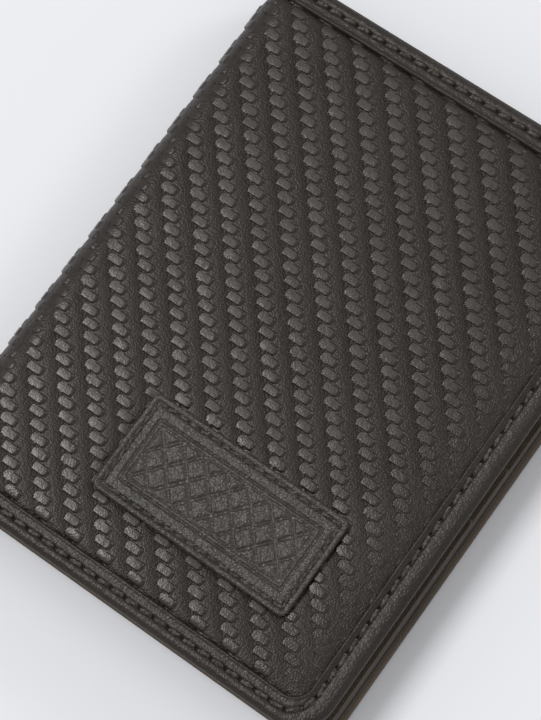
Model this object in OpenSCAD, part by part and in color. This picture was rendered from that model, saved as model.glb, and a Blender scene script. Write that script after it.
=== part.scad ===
// Portrait-format bifold wallet, closed and lying on its back cover.
// X runs from the fold (-X) to the open edge (+X), Y along the height, and Z up, from the back
// cover's outer face to the front cover's. The origin is the centre of the base.
//
// Each cover is a flat stack. A height inside it is counted as a depth from that cover's own
// outer face, so the same modules build both: the back cover as drawn, the front one mirrored.
// The spine is a half tube of the same leather. Three strips, hinged on its outer surface,
// stand for its bending.

/* [Wallet] */
// Width, from the fold to the back cover's open edge
wallet_w = 98; // [94:1:104]
// Height
wallet_h = 125; // [115:1:135]
// Thickness of the closed wallet, without the patch
wallet_t = 15; // [15:0.5:18]
// How far the back cover stands out past the front cover
back_overhang = 1.3; // [0:0.1:3]
// Radius of the covers' outer corners
corner_r = 8; // [7:0.5:10]

/* [Outer leather] */
// Thickness of the embossed leather
skin_t = 0.9; // [0.7:0.1:0.9]
// Width of the smooth border along the open edge
border_side = 5.6; // [5:0.1:6.5]
// Width of the smooth border along the top and the bottom
border_end = 5.3; // [4.5:0.1:6.5]
// How far the border's face lies below the padded field
border_drop = 0.4; // [0.3:0.1:0.5]
// Thickness of the border leather
border_t = 0.8; // [0.6:0.1:0.8]

/* [Inner layers] */
// Thickness of the foam
foam_t = 0.8; // [0.6:0.1:0.8]
// Thickness of the stiffening board
board_t = 0.4; // [0.3:0.1:0.4]
// Thickness of the lining cloth
lining_t = 0.3; // [0.2:0.1:0.3]
// Open height of the note compartment
note_gap = 0.5; // [0.4:0.1:0.5]
// Thickness of the divider that closes the note compartment
divider_t = 0.5; // [0.4:0.1:0.5]
// Thickness of the inner panel
panel_t = 0.6; // [0.5:0.1:0.6]

/* [Pockets] */
// Thickness of a card pocket's leather
pocket_t = 0.4; // [0.3:0.1:0.4]
// Open height of a card slot when it is empty
slot_gap = 0.2; // [0.15:0.05:0.2]
// Height of the lowest card pocket
pocket_h = 52; // [50:1:54]
// How much further up each pocket behind it ends
pocket_step = 12; // [9:1:13]
// Width of the identity window's opening
window_w = 74; // [66:1:76]
// Height of the identity window's opening
window_h = 44; // [38:1:46]

/* [Patch] */
// Width of the leather patch on the front cover
patch_w = 46.1; // [38:0.1:52]
// Height of the patch
patch_h = 22.2; // [18:0.1:26]
// Thickness of the patch
patch_t = 0.9; // [0.7:0.1:1.2]
// Distance from the patch's right side to the front cover's open edge
patch_from_edge = 17.3; // [12:0.1:22]
// Distance from the patch's lower side to the wallet's lower edge
patch_from_base = 16.4; // [12:0.1:24]

/* [Stitches] */
// Distance between stitches
stitch_pitch = 3.4; // [3:0.1:4]
// Length of a stitch
stitch_l = 2.4; // [2:0.1:2.6]
// Width of the thread
stitch_w = 0.55; // [0.4:0.05:0.7]
// Slant of a stitch to its seam
stitch_slant = 12; // [0:1:20]
// Distance from the open edge to its seam
seam_side = 3.8; // [3.4:0.1:4.2]
// Distance from the top and bottom edges to their seams
seam_end = 2.6; // [2.3:0.1:3]

/* [Hidden] */

ROUND_FN = 96;
LEATHER = [0.235, 0.224, 0.212];
SMOOTH_LEATHER = [0.19, 0.182, 0.174];
FOAM = [0.55, 0.55, 0.53];
BOARD = [0.62, 0.55, 0.44];
LINING = [0.13, 0.125, 0.13];
INNER_LEATHER = [0.17, 0.16, 0.152];
THREAD = [0.28, 0.27, 0.25];
FILM = [0.8, 0.82, 0.84, 0.4];

// The fold: its outer circle, and the strips that stand for its bending
spine_r = wallet_t / 2;
fold_x = -wallet_w / 2;
spine_x = fold_x + spine_r;
back_edge = wallet_w / 2;
front_edge = back_edge - back_overhang;
strip_angle = 45;
half_strip = strip_angle / 2;
// Each strip's end stands back from the hinge plane by this angle
strip_clear = 0.6;

// Depths below a cover's outer face
foam_d = skin_t;
board_d = foam_d + foam_t;
border_in_d = border_drop + border_t;
hem_d = board_d + board_t;
hem_t = 0.4;
lining_d = hem_d + hem_t;
divider_d = lining_d + lining_t + note_gap;
slip_gap = 0.5;
panel_d = divider_d + divider_t + slip_gap;
pockets_d = panel_d + panel_t;
layer_t = slot_gap + pocket_t;
back_pockets = 4;
front_pockets = 2;
film_t = 0.2;
film_gap = 0.4;
frame_d = pockets_d + front_pockets * layer_t + film_gap + film_t;
frame_t = 0.6;

// Radii of the layers that run round the spine
border_r = spine_r - border_drop;
border_in_r = border_r - border_t;
padding_r = spine_r - skin_t;
// The foam is pressed thinner where it runs round the spine
spine_foam_t = 0.65;
padding_in_r = padding_r - spine_foam_t;
hem_in_r = border_in_r - hem_t;
lining_r = hem_in_r;
lining_in_r = lining_r - lining_t;
divider_r = lining_in_r - note_gap;
divider_in_r = divider_r - divider_t;

// Edges of the layers in plan
turn_t = 0.8;
board_inset = 1;
lining_inset = 1;
inner_inset = 1.2;
padding_inset = 0.3;
board_start = spine_x + 1;
inner_start = spine_x - 2.8;
divider_top = wallet_h / 2 - 4;
panel_top = divider_top - 1;
base_y = -wallet_h / 2 + inner_inset;
window_r = 3;
film_margin = 3;
// How much lower the window stands than the middle of its pocket
window_drop = 0.5;
// The embossed field's corners are rounder inside the rim's by this much
field_corner_less = 4;
min_corner_r = 1;
// How far cutting shapes run on past what they cut
over = 1;

// Stitches that are shorter or thinner than the border's
spine_stitch_l = stitch_l - 0.4;
patch_stitch_l = stitch_l - 0.6;
patch_stitch_w = stitch_w - 0.1;
// Room left at the patch's corners between its rows of stitches
patch_row_in = 1;

// Threads
thread_h = 0.35;
spine_thread_h = 0.3;
inner_thread_h = 0.14;
patch_thread_h = 0.2;
seam_r = corner_r - (seam_side + seam_end) / 2;
patch_seam = 1.5;
patch_r = 1.5;
patch_pitch = 2.6;
pocket_seam = 2.2;

// A flat outline in XY with its two corners on the open edge rounded.
module outline(from_x, to_x, low_y, high_y, r) {
    translate([from_x, low_y + r])
        square([to_x - from_x, high_y - low_y - 2 * r]);
    translate([from_x, low_y])
        square([to_x - r - from_x, high_y - low_y]);
    for (y = [low_y + r, high_y - r])
        translate([to_x - r, y])
            circle(r = r, $fn = ROUND_FN);
}

// A rounded rectangle in XY, centred.
module tablet(w, h, r) {
    square([w - 2 * r, h], center = true);
    square([w, h - 2 * r], center = true);
    for (x = [-1, 1], y = [-1, 1])
        translate([x * (w / 2 - r), y * (h / 2 - r)])
            circle(r = r, $fn = ROUND_FN);
}

// The cover's plan, drawn in from the rim by an inset on its three open sides.
module cover_plan(edge, inset, from_x = fold_x - over) {
    outline(from_x, edge - inset, -wallet_h / 2 + inset, wallet_h / 2 - inset,
        max(corner_r - inset, min_corner_r));
}

// The embossed field's plan: what the border leaves free.
module field_plan(edge, inset = 0) {
    outline(fold_x - over, edge - border_side - inset, -wallet_h / 2 + border_end + inset,
        wallet_h / 2 - border_end - inset, corner_r - field_corner_less);
}

// A layer of the flat stack, from a depth, over a plan given as its child.
module layer(depth, t) {
    translate([0, 0, depth])
        linear_extrude(t)
            children();
}

// Turns a drawing in XZ into a bar along Y.
module along_y(low_y, high_y) {
    translate([0, high_y, 0])
        rotate([90, 0, 0])
            linear_extrude(high_y - low_y)
                children();
}

// A sector of a ring about the spine's centre, in XZ. Angles are counted from +X towards +Z.
module ring_sector(r_out, r_in, from_a, to_a) {
    reach = 2 * wallet_t;
    mid_a = (from_a + to_a) / 2;
    translate([spine_x, spine_r])
        intersection() {
            difference() {
                circle(r = r_out, $fn = ROUND_FN);
                circle(r = r_in, $fn = ROUND_FN);
            }
            polygon([
                [0, 0],
                reach * [cos(from_a), sin(from_a)],
                reach * [cos(mid_a), sin(mid_a)],
                reach * [cos(to_a), sin(to_a)]
            ]);
        }
}

// The cover's own part of the fold, from the flat up to the first hinge plane.
module cover_arc(r_out, r_in) {
    ring_sector(r_out, r_in, 270 - half_strip + strip_clear, 270);
}

// A flat run in XZ from the spine's centre line to the open edge, with the fold's arc before it.
module cover_profile(depth, t, r_out, r_in) {
    translate([spine_x, depth])
        square([wallet_w, t]);
    cover_arc(r_out, r_in);
}

// The arc of strip number k, 1 next to the back cover and 3 next to the front cover.
module strip_arc(k, r_out, r_in) {
    mid_a = 270 - k * strip_angle;
    ring_sector(r_out, r_in, mid_a - half_strip + strip_clear,
        mid_a + half_strip - strip_clear);
}

// Stands a cover's stack on the front side.
module front_side() {
    translate([0, 0, wallet_t])
        mirror([0, 0, 1])
            children();
}

// One stitch lying along X on a face that looks down, its thread standing down from it.
module stitch(l = stitch_l, w = stitch_w, h = thread_h) {
    rotate([0, 0, stitch_slant])
        translate([-l / 2, -w / 2, -h])
            cube([l, w, h]);
}

// A row of stitches from one point to another, evenly spread, both ends included.
module stitch_row(start, finish, pitch, l, w, h) {
    run = finish - start;
    count = max(round(norm(run) / pitch), 1);
    for (i = [0:count])
        translate([start.x + run.x * i / count, start.y + run.y * i / count, 0])
            rotate([0, 0, atan2(run.y, run.x)])
                stitch(l, w, h);
}

module cover_skin(edge) {
    half = wallet_h / 2 - border_end;
    intersection() {
        along_y(-half, half)
            cover_profile(0, skin_t, spine_r, padding_r);
        layer(-over, wallet_t)
            field_plan(edge);
    }
}

// The smooth leather turned round the rim: outer face, edge, and the hem behind.
module cover_border(edge) {
    difference() {
        union() {
            layer(border_drop, lining_d - border_drop)
                cover_plan(edge, 0, spine_x);
            along_y(-wallet_h / 2, wallet_h / 2)
                cover_arc(border_r, hem_in_r);
        }
        layer(border_in_d, hem_d - border_in_d)
            cover_plan(edge, turn_t, spine_x);
        layer(-over, wallet_t)
            field_plan(edge);
    }
}

module cover_padding(edge) {
    half = wallet_h / 2 - border_end - padding_inset;
    intersection() {
        along_y(-half, half)
            cover_profile(foam_d, foam_t, padding_r, padding_in_r);
        layer(-over, wallet_t)
            field_plan(edge, padding_inset);
    }
}

module cover_board(edge) {
    layer(board_d, board_t)
        cover_plan(edge, board_inset, board_start);
}

module cover_lining(edge) {
    layer(lining_d, lining_t)
        cover_plan(edge, lining_inset, spine_x - (spine_r - lining_d - lining_t) * tan(half_strip));
}

// A flat sheet of the inner work, square at its top edge.
module inner_sheet(edge, depth, t, top, from_x = inner_start) {
    layer(depth, t)
        intersection() {
            cover_plan(edge, inner_inset, from_x);
            translate([from_x, -wallet_h])
                square([wallet_w, wallet_h + top]);
        }
}

module cover_divider(edge) {
    inner_sheet(edge, divider_d, divider_t, divider_top,
        spine_x - (spine_r - divider_d - divider_t) * tan(half_strip));
}

module cover_panel(edge) {
    inner_sheet(edge, panel_d, panel_t, panel_top);
}

// Card pocket number k of a stack, 1 the tallest and deepest; steps says how far its top
// stands above the lowest pocket's.
module card_pocket(edge, k, steps) {
    inner_sheet(edge, pockets_d + k * layer_t - pocket_t, pocket_t,
        base_y + pocket_h + steps * pocket_step);
}

// The thread of the border seam, on the flat and on the cover's part of the fold.
module cover_stitches(edge) {
    seam_x = edge - seam_side;
    seam_y = wallet_h / 2 - seam_end;
    corner = seam_x - seam_r;
    corner_count = floor(seam_r * PI / 2 / stitch_pitch);
    translate([0, 0, border_drop]) {
        for (side = [-1, 1]) {
            stitch_row([spine_x + stitch_l, side * seam_y], [corner, side * seam_y],
                stitch_pitch, stitch_l, stitch_w, thread_h);
            for (i = [1:corner_count])
                translate([corner, side * (seam_y - seam_r), 0])
                    rotate([0, 0, side * 90 * i / (corner_count + 1)])
                        translate([seam_r, 0, 0])
                            rotate([0, 0, 90])
                                stitch();
        }
        stitch_row([seam_x, seam_r - seam_y], [seam_x, seam_y - seam_r],
            stitch_pitch, stitch_l, stitch_w, thread_h);
    }
    spine_stitch(270 - half_strip / 2);
}

// One stitch at each end of the spine, at an angle round it.
module spine_stitch(a) {
    for (side = [-1, 1])
        translate([spine_x, side * (wallet_h / 2 - seam_end), spine_r])
            rotate([0, -a - 90, 0])
                translate([0, 0, -border_r])
                    stitch(l = spine_stitch_l, h = spine_thread_h);
}

// The thread round the lowest pocket, on the inner face.
module pocket_stitches(edge, depth) {
    low_x = inner_start + pocket_seam;
    high_x = edge - seam_side;
    low_y = base_y + pocket_seam;
    high_y = base_y + pocket_h - pocket_seam;
    translate([0, 0, depth + inner_thread_h]) {
        stitch_row([low_x, low_y], [high_x - seam_r, low_y],
            stitch_pitch, stitch_l, stitch_w, inner_thread_h);
        for (x = [low_x, high_x])
            stitch_row([x, low_y + seam_r], [x, high_y],
                stitch_pitch, stitch_l, stitch_w, inner_thread_h);
    }
}

module back_skin() {
    color(LEATHER) cover_skin(back_edge);
}

module back_border() {
    color(SMOOTH_LEATHER) cover_border(back_edge);
}

module back_padding() {
    color(FOAM) cover_padding(back_edge);
}

module back_board() {
    color(BOARD) cover_board(back_edge);
}

module back_lining() {
    color(LINING) cover_lining(back_edge);
}

module back_divider() {
    color(LINING) cover_divider(back_edge);
}

module back_panel() {
    color(INNER_LEATHER) cover_panel(back_edge);
}

module back_card_pocket(k) {
    color(INNER_LEATHER) card_pocket(back_edge, k, back_pockets - k);
}

module back_border_stitches() {
    color(THREAD) cover_stitches(back_edge);
}

module back_pocket_stitches() {
    color(THREAD) pocket_stitches(back_edge, pockets_d + back_pockets * layer_t);
}

module front_skin() {
    color(LEATHER) front_side() cover_skin(front_edge);
}

module front_border() {
    color(SMOOTH_LEATHER) front_side() cover_border(front_edge);
}

module front_padding() {
    color(FOAM) front_side() cover_padding(front_edge);
}

module front_board() {
    color(BOARD) front_side() cover_board(front_edge);
}

module front_lining() {
    color(LINING) front_side() cover_lining(front_edge);
}

module front_divider() {
    color(LINING) front_side() cover_divider(front_edge);
}

module front_panel() {
    color(INNER_LEATHER) front_side() cover_panel(front_edge);
}

// The window frame is the front cover's lowest pocket, so two steps stay above it.
module front_card_pocket(k) {
    color(INNER_LEATHER) front_side() card_pocket(front_edge, k, front_pockets + 1 - k);
}

module window_plan(margin) {
    translate([(inner_start + front_edge - inner_inset) / 2, base_y + pocket_h / 2 - window_drop])
        tablet(window_w + 2 * margin, window_h + 2 * margin, window_r);
}

module front_window_frame() {
    color(INNER_LEATHER) front_side() difference() {
        inner_sheet(front_edge, frame_d, frame_t, base_y + pocket_h);
        layer(frame_d - over, frame_t + 2 * over)
            window_plan(0);
    }
}

module front_window() {
    color(FILM) front_side() layer(frame_d - film_t, film_t)
        window_plan(film_margin);
}

module front_border_stitches() {
    color(THREAD) front_side() cover_stitches(front_edge);
}

module front_pocket_stitches() {
    color(THREAD) front_side() pocket_stitches(front_edge, frame_d + frame_t);
}

module place_patch() {
    translate([front_edge - patch_from_edge - patch_w / 2,
        -wallet_h / 2 + patch_from_base + patch_h / 2, wallet_t])
        children();
}

module patch() {
    color(SMOOTH_LEATHER) place_patch() linear_extrude(patch_t)
        tablet(patch_w, patch_h, patch_r);
}

module patch_stitches() {
    x = patch_w / 2 - patch_seam;
    y = patch_h / 2 - patch_seam;
    inner_y = y - patch_pitch;
    color(THREAD) place_patch() translate([0, 0, patch_t + patch_thread_h]) {
        for (side = [-1, 1]) {
            stitch_row([-x + patch_row_in, side * y], [x - patch_row_in, side * y], patch_pitch,
                patch_stitch_l, patch_stitch_w, patch_thread_h);
            stitch_row([side * x, -inner_y], [side * x, inner_y], patch_pitch,
                patch_stitch_l, patch_stitch_w, patch_thread_h);
        }
    }
}

module spine_skin(k) {
    half = wallet_h / 2 - border_end;
    color(LEATHER) along_y(-half, half) strip_arc(k, spine_r, padding_r);
}

module spine_border(k) {
    half = wallet_h / 2;
    color(SMOOTH_LEATHER) for (low_y = [-half, half - border_end])
        along_y(low_y, low_y + border_end) strip_arc(k, border_r, hem_in_r);
}

module spine_padding(k) {
    half = wallet_h / 2 - border_end - padding_inset;
    color(FOAM) along_y(-half, half) strip_arc(k, padding_r, padding_in_r);
}

module spine_lining(k) {
    half = wallet_h / 2 - lining_inset;
    color(LINING) along_y(-half, half) strip_arc(k, lining_r, lining_in_r);
}

module spine_divider(k) {
    color(LINING) along_y(base_y, divider_top) strip_arc(k, divider_r, divider_in_r);
}

module spine_stitches(k) {
    color(THREAD) for (side = [-1, 1])
        spine_stitch(270 - k * strip_angle + side * half_strip / 2);
}

back_skin();
back_border();
back_padding();
back_board();
back_lining();
back_divider();
back_panel();
for (k = [1:back_pockets])
    back_card_pocket(k);
back_border_stitches();
back_pocket_stitches();
front_skin();
front_border();
front_padding();
front_board();
front_lining();
front_divider();
front_panel();
for (k = [1:front_pockets])
    front_card_pocket(k);
front_window_frame();
front_window();
front_border_stitches();
front_pocket_stitches();
patch();
patch_stitches();
for (k = [1:3]) {
    spine_skin(k);
    spine_border(k);
    spine_padding(k);
    spine_lining(k);
    spine_divider(k);
    spine_stitches(k);
}
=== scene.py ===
import math

import bpy
import numpy as np
from mathutils import Matrix, Vector


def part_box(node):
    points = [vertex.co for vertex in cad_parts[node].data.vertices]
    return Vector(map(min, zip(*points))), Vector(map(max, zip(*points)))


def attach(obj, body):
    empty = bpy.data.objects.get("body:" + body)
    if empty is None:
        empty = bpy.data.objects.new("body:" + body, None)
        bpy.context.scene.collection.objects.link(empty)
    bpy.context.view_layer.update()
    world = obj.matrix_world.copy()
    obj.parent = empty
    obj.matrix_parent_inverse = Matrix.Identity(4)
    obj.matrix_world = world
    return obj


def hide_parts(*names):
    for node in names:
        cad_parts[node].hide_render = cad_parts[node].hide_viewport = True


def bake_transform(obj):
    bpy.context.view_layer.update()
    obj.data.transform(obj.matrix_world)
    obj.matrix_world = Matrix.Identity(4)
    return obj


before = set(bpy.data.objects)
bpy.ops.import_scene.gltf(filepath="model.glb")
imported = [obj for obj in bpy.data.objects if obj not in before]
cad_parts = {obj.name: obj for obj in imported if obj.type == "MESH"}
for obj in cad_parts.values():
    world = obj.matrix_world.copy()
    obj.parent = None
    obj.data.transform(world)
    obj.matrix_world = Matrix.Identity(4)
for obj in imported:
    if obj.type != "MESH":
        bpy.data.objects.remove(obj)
scene = bpy.context.scene
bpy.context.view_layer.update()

# ------ measures, in millimetres
MM = 0.001


def node_box(node):
    """Lowest and highest corner of a CAD node, in millimetres."""
    low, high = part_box(node)
    return np.array(low) / MM, np.array(high) / MM


FRONT_EDGE = node_box("front_border")[1][0]
BACK_EDGE = node_box("back_border")[1][0]
HALF_HEIGHT = node_box("front_border")[1][1]
THICK = node_box("front_skin")[1][2]
FOLD_R = THICK / 2
FOLD_X = node_box("spine_skin_2")[0][0] + FOLD_R
ARC = math.pi * FOLD_R

CORNER_R = 8.0
LIP_CORNER_R = 4.0
BORDER_SIDE = 5.6
BORDER_END = 5.3
SEAM_SIDE = 3.8
SEAM_END = 2.6
STITCH = 3.4
STITCHES_PER_STRIP = 2
BODIES = ["back_cover", "spine_1", "spine_2", "spine_3", "front_cover"]
STRIPS = range(4)
STRIP = ARC / len(STRIPS)
STRIP_TURN = 180 / len(STRIPS)
STRIP_PITCH = STRIP / STITCHES_PER_STRIP
TAU = 2 * math.pi
LUMP_TABLE = 257


# ------ the leather's own coordinates
# u runs along the outer leather: on the front cover it is x, and it goes on round the fold and
# over the back cover. y is the wallet's own, and lift is the height above the outer surface.
def back_u(x):
    """u of a point of the back cover."""
    return 2 * FOLD_X - ARC - x


def front_u(x):
    return x


COVERS = (("front", FRONT_EDGE, front_u), ("back", BACK_EDGE, back_u))


def strip_start(k):
    """u at which strip k of the fold starts, counted from the back cover."""
    return FOLD_X - ARC + STRIP * k


def on_leather(u, y, lift):
    """Points in space for points of the leather."""
    u, y, lift = np.broadcast_arrays(
        np.asarray(u, float), np.asarray(y, float), np.asarray(lift, float))
    angle = math.pi / 2 + np.clip((FOLD_X - u) / FOLD_R, 0, math.pi)
    front = np.maximum(u - FOLD_X, 0)
    back = np.maximum(FOLD_X - ARC - u, 0)
    x = FOLD_X + front + back + (FOLD_R + lift) * np.cos(angle)
    z = FOLD_R + (FOLD_R + lift) * np.sin(angle)
    return spots(x, y, z)


def edge_of(u):
    """x of the open edge of the cover that u lies on, and x of the point itself."""
    front = u > FOLD_X - ARC / 2
    x = np.where(front, u, back_u(u))
    return np.where(front, FRONT_EDGE, BACK_EDGE), x


def spots(*axes):
    """Points from their coordinates, one array for each axis."""
    return np.stack(axes, axis=-1)


def smooth(low, high, value):
    """0 at low and beyond it, 1 at high and beyond it, and a soft step between."""
    t = np.clip((value - low) / (high - low), 0, 1)
    return t * t * (3 - 2 * t)


def bell(value, width):
    """1 at a value of 0, falling softly to both sides."""
    return np.exp(-(value / width) ** 2)


def unevenness(u, y, size, seed):
    """Soft random lumps from -1 to 1, about size millimetres across."""
    table = np.random.default_rng(seed).uniform(-1, 1, (LUMP_TABLE, LUMP_TABLE))
    a, b = u / size, y / size
    i, j = np.floor(a).astype(int), np.floor(b).astype(int)
    s, t = smooth(0, 1, a - i), smooth(0, 1, b - j)

    def at(di, dj):
        return table[(i + di) % LUMP_TABLE, (j + dj) % LUMP_TABLE]

    return ((at(0, 0) * (1 - s) + at(1, 0) * s) * (1 - t)
            + (at(0, 1) * (1 - s) + at(1, 1) * s) * t)


# ------ mesh makers
def in_scene(name, data):
    """A new object in the scene from a mesh, a light or a camera."""
    made = bpy.data.objects.new(name, data)
    scene.collection.objects.link(made)
    return made


def piece_from(name, points, faces, material, normals=None, flat_faces=0):
    """A mesh piece from points in millimetres. The last flat_faces faces are shaded flat."""
    mesh = bpy.data.meshes.new(name)
    mesh.from_pydata((np.asarray(points, float) * MM).tolist(), [], faces)
    mesh.materials.append(material)
    shade = np.ones(len(mesh.polygons), bool)
    if flat_faces:
        shade[-flat_faces:] = False
    mesh.polygons.foreach_set("use_smooth", shade)
    mesh.validate()
    mesh.update()
    if normals is not None:
        mesh.normals_split_custom_set_from_vertices(normals.tolist())
    return in_scene(name, mesh)


def grid_faces(rows, columns, start=0, flip=False):
    """Quads over a grid of points stored row by row."""
    i, j = np.meshgrid(np.arange(rows - 1), np.arange(columns - 1), indexing="ij")
    a = start + i * columns + j
    quads = spots(a, a + columns, a + columns + 1, a + 1).reshape(-1, 4)
    return (quads[:, ::-1] if flip else quads).tolist()


def tube_faces(rings, around, start=0, closed=False):
    """Quads over rings of points, each ring joined to itself, with both ends capped."""
    faces = []
    for i in range(rings if closed else rings - 1):
        a, b = start + i * around, start + (i + 1) % rings * around
        for j in range(around):
            k = (j + 1) % around
            faces.append([a + j, a + k, b + k, b + j])
    if not closed:
        faces.append([start + j for j in reversed(range(around))])
        faces.append([start + (rings - 1) * around + j for j in range(around)])
    return faces


def closed_skin(name, top, under, material, normals):
    """A closed thin piece: a fine grid on top, and a grid of fewer columns under it."""
    rows, columns = top.shape[:2]
    few = under.shape[1]
    points = np.concatenate([top.reshape(-1, 3), under.reshape(-1, 3)])
    first = rows * columns
    faces = grid_faces(rows, columns)
    walls = grid_faces(rows, few, first, True)
    for i in range(rows - 1):
        low, high = first + few * i, first + few * (i + 1) - 1
        walls.append([i * columns, low, low + few, (i + 1) * columns])
        end = i * columns + columns - 1
        walls.append([end, end + columns, high + few, high])
    last, under_last = (rows - 1) * columns, first + (rows - 1) * few
    walls.append([*range(columns), *range(first + few - 1, first - 1, -1)])
    end_wall = [*range(last, last + columns), *range(under_last + few - 1, under_last - 1, -1)]
    walls.append(end_wall[::-1])
    normals = np.concatenate([normals.reshape(-1, 3), np.zeros((few * rows, 3))])
    return piece_from(name, points, faces + walls, material, normals, len(walls))


def closed_slab(name, top, under, material):
    """A closed piece from two grids of the same size, with the rims joined."""
    rows, columns = top.shape[:2]
    points = np.concatenate([top.reshape(-1, 3), under.reshape(-1, 3)])
    n = rows * columns
    faces = grid_faces(rows, columns) + grid_faces(rows, columns, n, True)
    rim = [*range(0, n, columns), *range(n - columns + 1, n),
           *range(n - columns - 1, 0, -columns), *range(columns - 2, 0, -1)]
    for a, b in zip(rim, rim[1:] + rim[:1]):
        faces.append([a, n + a, n + b, b][::-1])
    facing = np.cross(top[1, 0] - top[0, 0], top[0, 1] - top[0, 0])
    if facing @ (top - under).mean(axis=(0, 1)) < 0:
        faces = [f[::-1] for f in faces]
    return piece_from(name, points, faces, material)


def round_corners(x, y, low, high, radii):
    """Pulls in the corners of a rectangle of points. The radii go round from low x and low y."""
    x, y = x.copy(), y.copy()
    for (sx, sy), radius in zip(((-1, -1), (1, -1), (1, 1), (-1, 1)), radii):
        corner_x = high[0] if sx > 0 else low[0]
        corner_y = high[1] if sy > 0 else low[1]
        a, b = radius - sx * (corner_x - x), radius - sy * (corner_y - y)
        near = (a > 0) & (b > 0)
        pull = np.where(near, np.maximum(a, b) / np.maximum(np.hypot(a, b), 1e-9), 1)
        x = np.where(near, corner_x - sx * radius + sx * a * pull, x)
        y = np.where(near, corner_y - sy * radius + sy * b * pull, y)
    return x, y


RIM_MARGIN = 0.7


def rim_lines(low, high, steps, count):
    """Grid lines: fine steps at both rims, and count even ones between."""
    return np.array([*(low + step for step in steps),
                     *np.linspace(low + RIM_MARGIN, high - RIM_MARGIN, count),
                     *(high - step for step in reversed(steps))])


def from_rim(x, y, low, high):
    """How far points lie inside the rim of a rectangle."""
    return np.minimum(np.minimum(x - low[0], high[0] - x), np.minimum(y - low[1], high[1] - y))


# ------ attaching pieces to bodies
def describe(piece, body, slot, *nodes):
    """Attaches the piece to its body, when one is given, and hides the CAD nodes it stands for. slot
    is not used.
    """
    if body is not None:
        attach(piece, body)
    if nodes:
        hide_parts(*nodes)


def plan(low, high):
    """Flat size, in metres, of a layer that fills a box."""
    return (high[0] - low[0]) * MM, (high[1] - low[1]) * MM


def fold_point(angle, radius):
    """A point of the fold, in metres, at an angle in degrees and a distance from its centre."""
    a = math.radians(angle)
    return Vector((FOLD_X + radius * math.cos(a), 0, FOLD_R + radius * math.sin(a))) * MM


def bend_round_fold(piece, strip, radius, slot, *nodes):
    """Bakes the piece's place into its mesh and hides the CAD nodes it stands for; the piece is left
    on no body, and does not turn between the two bodies that strip number 0 to 3 joins.
    """
    start = 270 - STRIP_TURN * strip
    BODIES[strip + 1]
    fold_point(start, radius)
    fold_point(start - STRIP_TURN, radius)
    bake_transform(piece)
    describe(piece, None, slot, *nodes)


def spine_nodes(kind, strip):
    """The CAD node of a spine layer that a strip stands for. There is none for the last strip."""
    return [f"spine_{kind}_{strip + 1}"] if strip < STRIPS[-1] else []


# ------ shader recipes
class Wire:
    """A node's output, with arithmetic that adds the nodes it needs."""

    def __init__(self, recipe, socket):
        self.recipe = recipe
        self.socket = socket

    def maths(self, operation, *values):
        return self.recipe.node("Math", {"operation": operation}, dict(enumerate(values)))

    def __add__(self, other):
        return self.maths("ADD", self, other)

    def __sub__(self, other):
        return self.maths("SUBTRACT", self, other)

    def __mul__(self, other):
        return self.maths("MULTIPLY", self, other)

    def __rsub__(self, other):
        return self.maths("SUBTRACT", other, self)

    __radd__ = __add__
    __rmul__ = __mul__

    def between(self, low, high):
        """0 below low and 1 above high, with a soft step between."""
        return self.recipe.node("MapRange", {"interpolation_type": "SMOOTHSTEP"},
                                {"Value": self, "From Min": low, "From Max": high})


class Recipe:
    """A material being put together: every node comes from node()."""

    def __init__(self, name):
        self.material = bpy.data.materials.new(name)
        self.material.use_nodes = True
        self.tree = self.material.node_tree
        self.tree.nodes.clear()

    def node(self, kind, settings=None, inputs=None, output=0):
        made = self.tree.nodes.new("ShaderNode" + kind)
        for key, value in (settings or {}).items():
            setattr(made, key, value)
        for key, value in (inputs or {}).items():
            if isinstance(value, Wire):
                self.tree.links.new(value.socket, made.inputs[key])
            else:
                made.inputs[key].default_value = value
        return Wire(self, made.outputs[output]) if made.outputs else None

    def place(self, scale=1.0, stretch=(1, 1, 1)):
        """Where the surface point is on the piece, scaled for a texture."""
        where = self.node("TexCoord", output="Object")
        return self.node("VectorMath", {"operation": "MULTIPLY"},
                         {0: where, 1: tuple(scale * s for s in stretch)})

    def lumps(self, size, detail=2.0, roughness=0.5, stretch=(1, 1, 1), shift=0.0):
        """Noise with lumps about size millimetres across."""
        return self.node("TexNoise", {"noise_dimensions": "4D"},
                         {"Vector": self.place(1 / (size * MM), stretch), "W": shift, "Scale": 1.0,
                          "Detail": detail, "Roughness": roughness})

    def pebbles(self, size):
        """Leather grain: the distance within cells about size millimetres across."""
        warp = self.lumps(size * 2, 1.0, shift=4.0)
        where = self.node("VectorMath", {"operation": "ADD"},
                          {0: self.place(1 / (size * MM)), 1: warp})
        return self.node("TexVoronoi", None, {"Vector": where, "Scale": 1.0}, "Distance")

    def mix(self, factor, a, b):
        """A colour between a and b. Colours go in at sockets 6 and 7, and come out at 2."""
        return self.node("Mix", {"data_type": "RGBA"}, {"Factor": factor, 6: a, 7: b}, 2)

    def bump(self, height, depth):
        """A normal from a height that runs over one unit, depth millimetres deep."""
        return self.node("Bump", None, {"Height": height, "Distance": depth * MM})

    def surface(self, **inputs):
        """A surface whose inputs are named in small letters, such as base_color."""
        names = {key.replace("_", " ").title().replace("Ior", "IOR"): value
                 for key, value in inputs.items()}
        return self.node("BsdfPrincipled", None, names)

    def show(self, shader):
        """The finished material, which shows the shader."""
        self.node("OutputMaterial", None, {"Surface": shader})
        return self.material

    def finish(self, **inputs):
        return self.show(self.surface(**inputs))


def tone(red, green, blue):
    """A colour given as it looks, from 0 to 255, in linear values."""
    def linear(c):
        c = c / 255
        return c / 12.92 if c <= 0.04045 else ((c + 0.055) / 1.055) ** 2.4
    return (linear(red), linear(green), linear(blue), 1.0)


MATT_ROUGHER, MATT_GLOSS = 0.12, 0.31


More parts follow.
